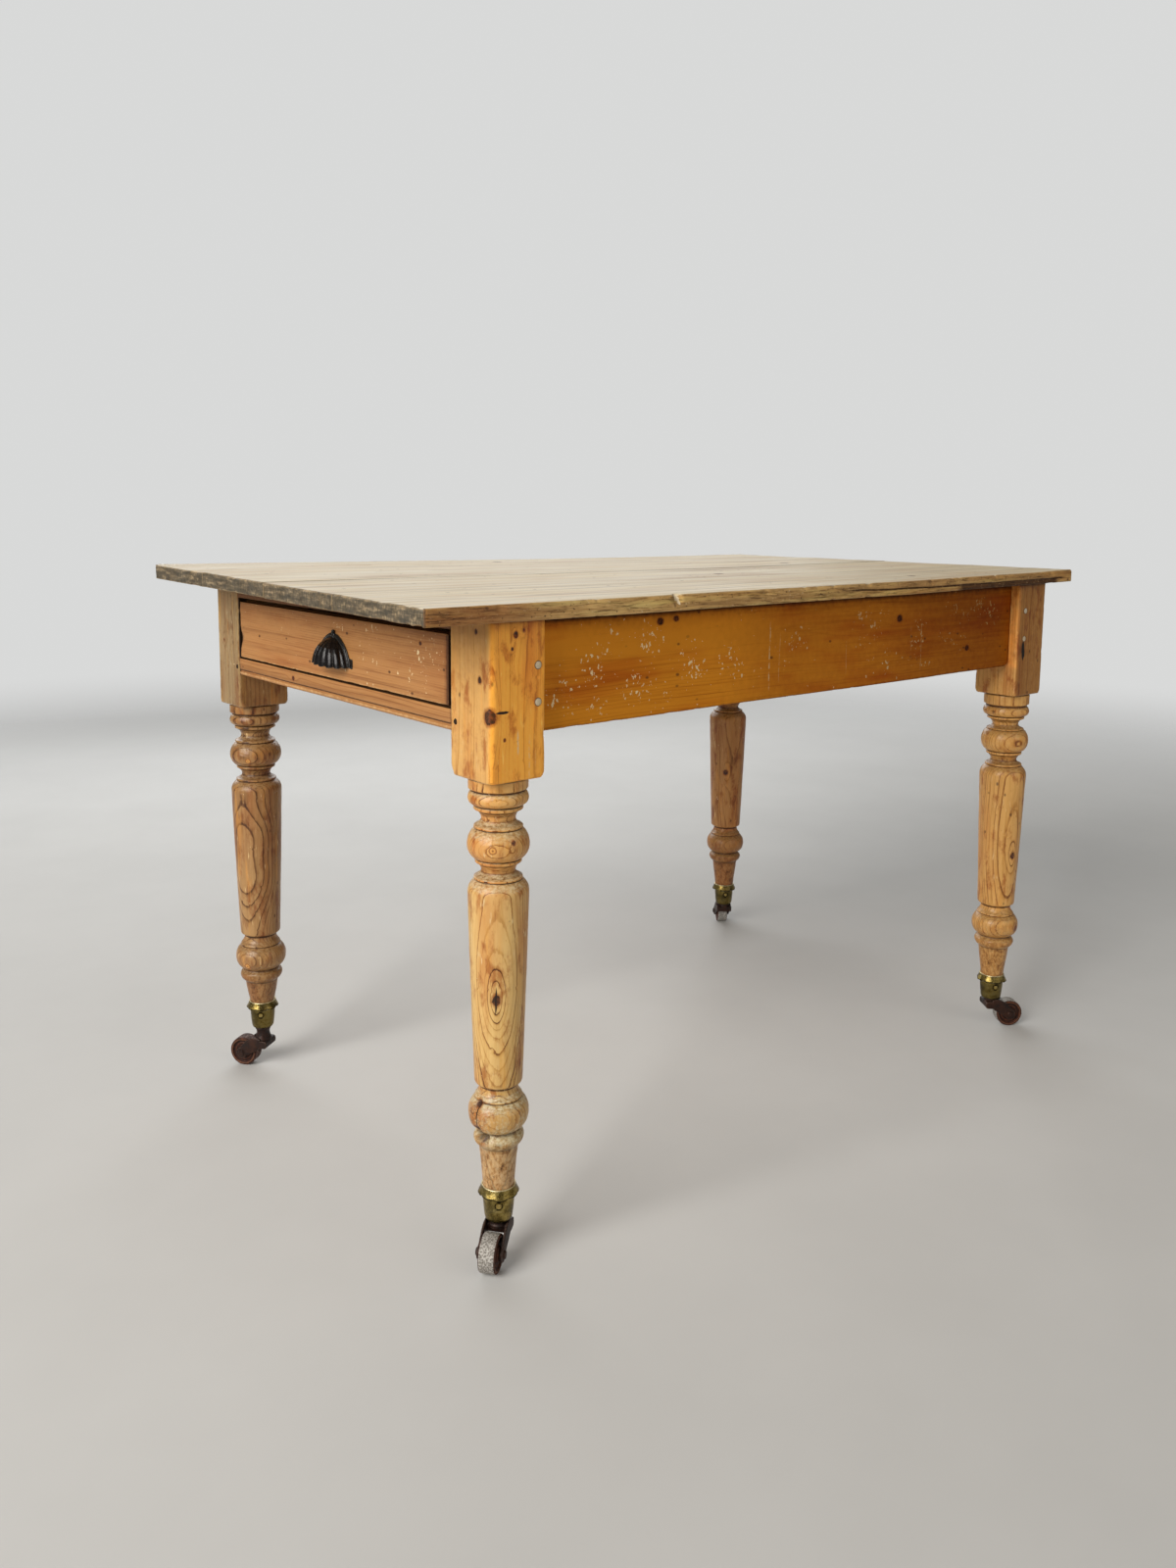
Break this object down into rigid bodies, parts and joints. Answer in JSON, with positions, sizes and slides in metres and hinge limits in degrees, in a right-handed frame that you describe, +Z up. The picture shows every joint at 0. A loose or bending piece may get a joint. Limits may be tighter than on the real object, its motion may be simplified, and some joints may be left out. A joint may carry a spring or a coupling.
{
  "type": "farmhouse table",
  "caption": "Long pine farmhouse table: plank top, turned legs on swivel castors, pegged aprons, and a drawer with a shell-shaped cup pull in one short end.",
  "frame": {"origin": "on the floor, under the middle of the top's outline", "axes": "+X along the length, from the drawer end to the far end; +Y across the width, away from the long side shown with the drawer; +Z up"},
  "size_m": [1.22, 0.734, 0.762],
  "materials": {
    "scrubbed_pine": "bare scrubbed pine, pale and matte, worn arrises",
    "waxed_pine": "old waxed pine, honey to orange brown, scuffed, flecked with old paint",
    "drawer_pine": "dry brown pine, matte, flecked with old paint",
    "raw_pine": "unfinished pine, darkened with age",
    "peg_wood": "end grain of hardwood pegs",
    "bronzed_iron": "dark bronzed casting, satin",
    "aged_brass": "dull aged brass with dark patina",
    "rusty_iron": "rust-brown iron, worn grey on the tread",
    "dark_iron": "dark old iron"
  },
  "bodies": {
    "table": {"castor_cup_drawer_left": "aged_brass", "castor_cup_drawer_right": "aged_brass", "castor_cup_far_left": "aged_brass", "castor_cup_far_right": "aged_brass", "castor_cup_screws": "dark_iron", "drawer_guide_left": "raw_pine", "drawer_guide_right": "raw_pine", "drawer_kicker_left": "raw_pine", "drawer_kicker_right": "raw_pine", "drawer_rail_lower": "drawer_pine", "drawer_rail_upper": "drawer_pine", "drawer_runner_left": "raw_pine", "drawer_runner_right": "raw_pine", "drawer_stops": "raw_pine", "end_rail_far": "waxed_pine", "glue_blocks": "raw_pine", "leg_drawer_left": "waxed_pine", "leg_drawer_right": "waxed_pine", "leg_far_left": "waxed_pine", "leg_far_right": "waxed_pine", "rail_nails": "dark_iron", "runner_nails": "dark_iron", "side_rail_left": "waxed_pine", "side_rail_right": "waxed_pine", "tenon_pegs": "peg_wood", "top_board_1": "scrubbed_pine", "top_board_2": "scrubbed_pine", "top_board_3": "scrubbed_pine", "top_board_4": "scrubbed_pine", "top_screws": "dark_iron"},
    "drawer": {"drawer_back": "raw_pine", "drawer_bottom_front": "raw_pine", "drawer_bottom_nails": "dark_iron", "drawer_bottom_rear": "raw_pine", "drawer_front": "drawer_pine", "drawer_pull": "bronzed_iron", "drawer_side_left": "raw_pine", "drawer_side_right": "raw_pine", "pull_screws": "bronzed_iron"},
    "castor_drawer_right": {"castor_horn_drawer_right": "rusty_iron", "castor_pin_drawer_right": "dark_iron", "castor_axle_drawer_right": "dark_iron"},
    "castor_drawer_left": {"castor_horn_drawer_left": "rusty_iron", "castor_pin_drawer_left": "dark_iron", "castor_axle_drawer_left": "dark_iron"},
    "castor_far_right": {"castor_horn_far_right": "rusty_iron", "castor_pin_far_right": "dark_iron", "castor_axle_far_right": "dark_iron"},
    "castor_far_left": {"castor_horn_far_left": "rusty_iron", "castor_pin_far_left": "dark_iron", "castor_axle_far_left": "dark_iron"},
    "wheel_drawer_right": {"castor_wheel_drawer_right": "rusty_iron"},
    "wheel_drawer_left": {"castor_wheel_drawer_left": "rusty_iron"},
    "wheel_far_right": {"castor_wheel_far_right": "rusty_iron"},
    "wheel_far_left": {"castor_wheel_far_left": "rusty_iron"}
  },
  "joints": [
    {"name": "drawer_slide", "type": "slide", "parent": "table", "child": "drawer", "axis": [-1, 0, 0], "range_m": [0, 0.36]},
    {"name": "castor_swivel_drawer_right", "type": "hinge", "parent": "table", "child": "castor_drawer_right", "pos_m": [-0.483, -0.31, 0.045], "axis": [0, 0, 1], "continuous": true},
    {"name": "castor_swivel_drawer_left", "type": "hinge", "parent": "table", "child": "castor_drawer_left", "pos_m": [-0.483, 0.31, 0.045], "axis": [0, 0, 1], "continuous": true},
    {"name": "castor_swivel_far_right", "type": "hinge", "parent": "table", "child": "castor_far_right", "pos_m": [0.529, -0.31, 0.045], "axis": [0, 0, 1], "continuous": true},
    {"name": "castor_swivel_far_left", "type": "hinge", "parent": "table", "child": "castor_far_left", "pos_m": [0.529, 0.31, 0.045], "axis": [0, 0, 1], "continuous": true},
    {"name": "wheel_roll_drawer_right", "type": "hinge", "parent": "castor_drawer_right", "child": "wheel_drawer_right", "pos_m": [-0.50664, -0.32847, 0.022], "axis": [0.6157, -0.788, 0], "continuous": true},
    {"name": "wheel_roll_drawer_left", "type": "hinge", "parent": "castor_drawer_left", "child": "wheel_drawer_left", "pos_m": [-0.50021, 0.33457, 0.022], "axis": [-0.8192, -0.5736, 0], "continuous": true},
    {"name": "wheel_roll_far_right", "type": "hinge", "parent": "castor_far_right", "child": "wheel_far_right", "pos_m": [0.55327, -0.32763, 0.022], "axis": [0.5878, 0.809, 0], "continuous": true},
    {"name": "wheel_roll_far_left", "type": "hinge", "parent": "castor_far_left", "child": "wheel_far_left", "pos_m": [0.54747, 0.33364, 0.022], "axis": [-0.788, 0.6157, 0], "continuous": true}
  ]
}
